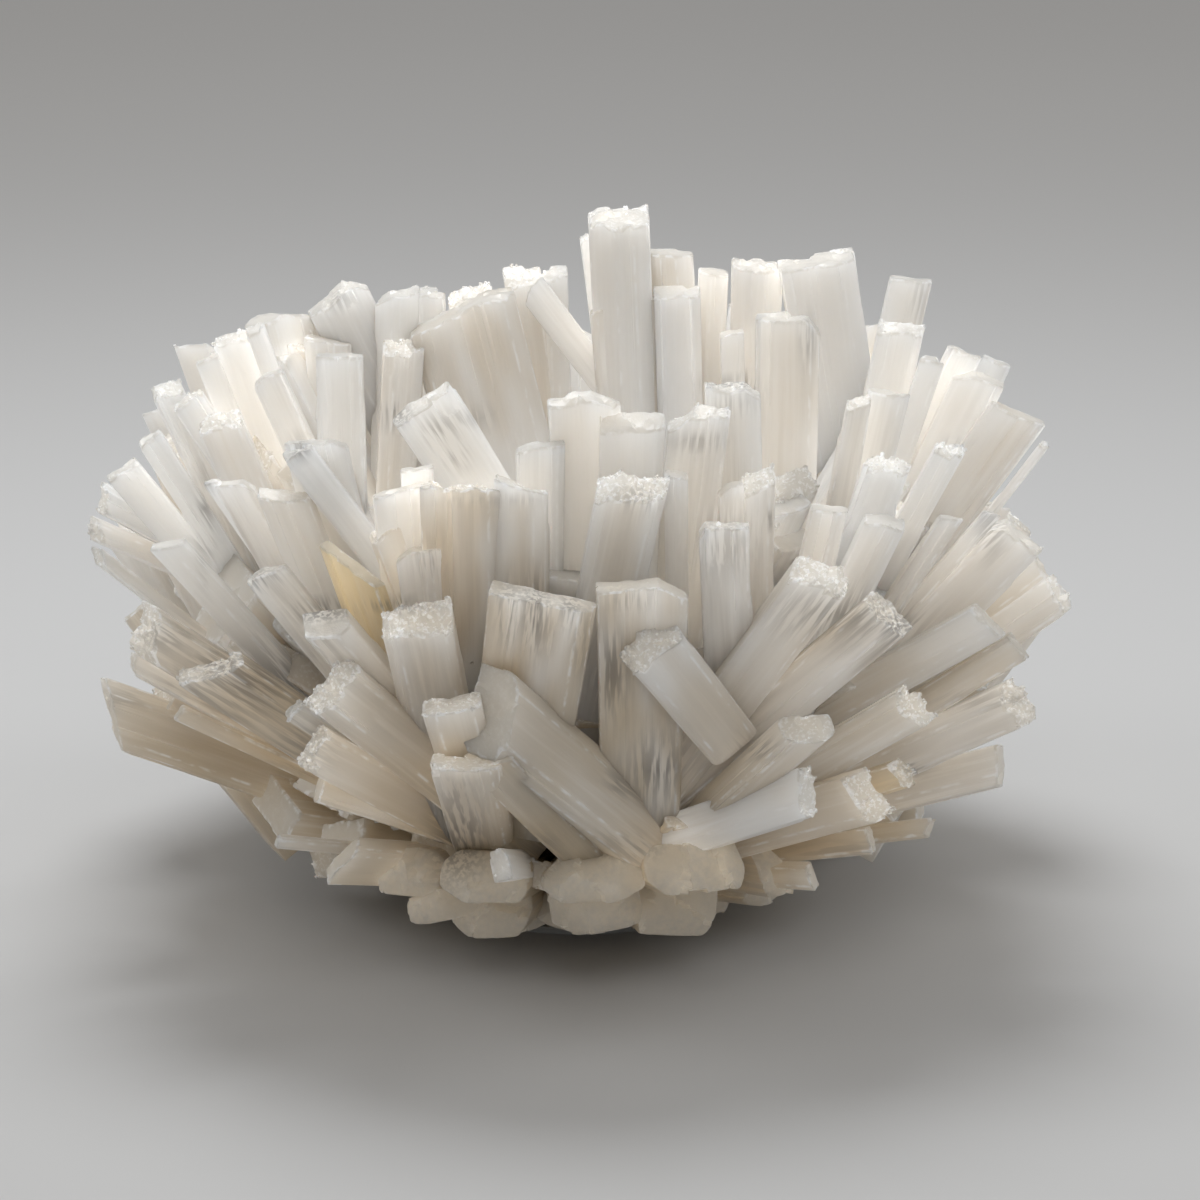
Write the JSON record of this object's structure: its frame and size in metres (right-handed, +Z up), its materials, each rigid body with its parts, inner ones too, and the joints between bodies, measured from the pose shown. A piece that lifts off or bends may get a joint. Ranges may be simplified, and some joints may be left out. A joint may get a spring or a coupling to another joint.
{
  "type": "satin spar bowl",
  "caption": "Round decorative bowl of satin spar blades that fan out from a small clear disc around a funnel-shaped hollow.",
  "frame": {"origin": "centre of the underside of the clear disc, on the surface that the bowl stands on", "axes": "+Z up through the bowl's hollow; -Y toward the viewer of the picture; +X to the viewer's right"},
  "size_m": [0.408, 0.4294, 0.2754],
  "materials": {
    "clear_disc": "clear, polished",
    "foot_spar": "satiny fibrous gypsum, broken ends rough",
    "inner_spar": "satiny fibrous gypsum, broken ends rough",
    "low_spar": "satiny fibrous gypsum, broken ends rough",
    "middle_spar": "satiny fibrous gypsum, broken ends rough",
    "rim_spar": "satiny fibrous gypsum, broken ends rough",
    "upper_spar": "satiny fibrous gypsum, broken ends rough"
  },
  "bodies": {
    "root": {"base_disc": "clear_disc", "foot_bunch_01": "foot_spar", "inner_bunch_01": "inner_spar", "inner_bunch_02": "inner_spar", "low_blade_01": "low_spar", "low_blade_02": "low_spar", "low_bunch_01": "low_spar", "low_bunch_02": "low_spar", "low_bunch_03": "low_spar", "low_bunch_04": "low_spar", "low_bunch_05": "low_spar", "low_bunch_06": "low_spar", "low_bunch_07": "low_spar", "middle_blade_01": "middle_spar", "middle_bunch_01": "middle_spar", "middle_bunch_02": "middle_spar", "middle_bunch_03": "middle_spar", "middle_bunch_04": "middle_spar", "middle_bunch_05": "middle_spar", "middle_bunch_06": "middle_spar", "rim_blade_01": "rim_spar", "rim_blade_02": "rim_spar", "rim_blade_03": "rim_spar", "rim_blade_04": "rim_spar", "rim_blade_05": "rim_spar", "rim_blade_06": "rim_spar", "rim_bunch_01": "rim_spar", "rim_bunch_02": "rim_spar", "rim_bunch_03": "rim_spar", "rim_bunch_04": "rim_spar", "rim_bunch_05": "rim_spar", "rim_bunch_06": "rim_spar", "rim_bunch_07": "rim_spar", "rim_bunch_08": "rim_spar", "rim_bunch_09": "rim_spar", "rim_bunch_10": "rim_spar", "rim_bunch_11": "rim_spar", "rim_bunch_12": "rim_spar", "upper_blade_01": "upper_spar", "upper_bunch_01": "upper_spar", "upper_bunch_02": "upper_spar", "upper_bunch_03": "upper_spar", "upper_bunch_04": "upper_spar", "upper_bunch_05": "upper_spar", "upper_bunch_06": "upper_spar", "upper_bunch_07": "upper_spar", "upper_bunch_08": "upper_spar", "upper_bunch_09": "upper_spar", "upper_bunch_10": "upper_spar"}
  },
  "joints": []
}
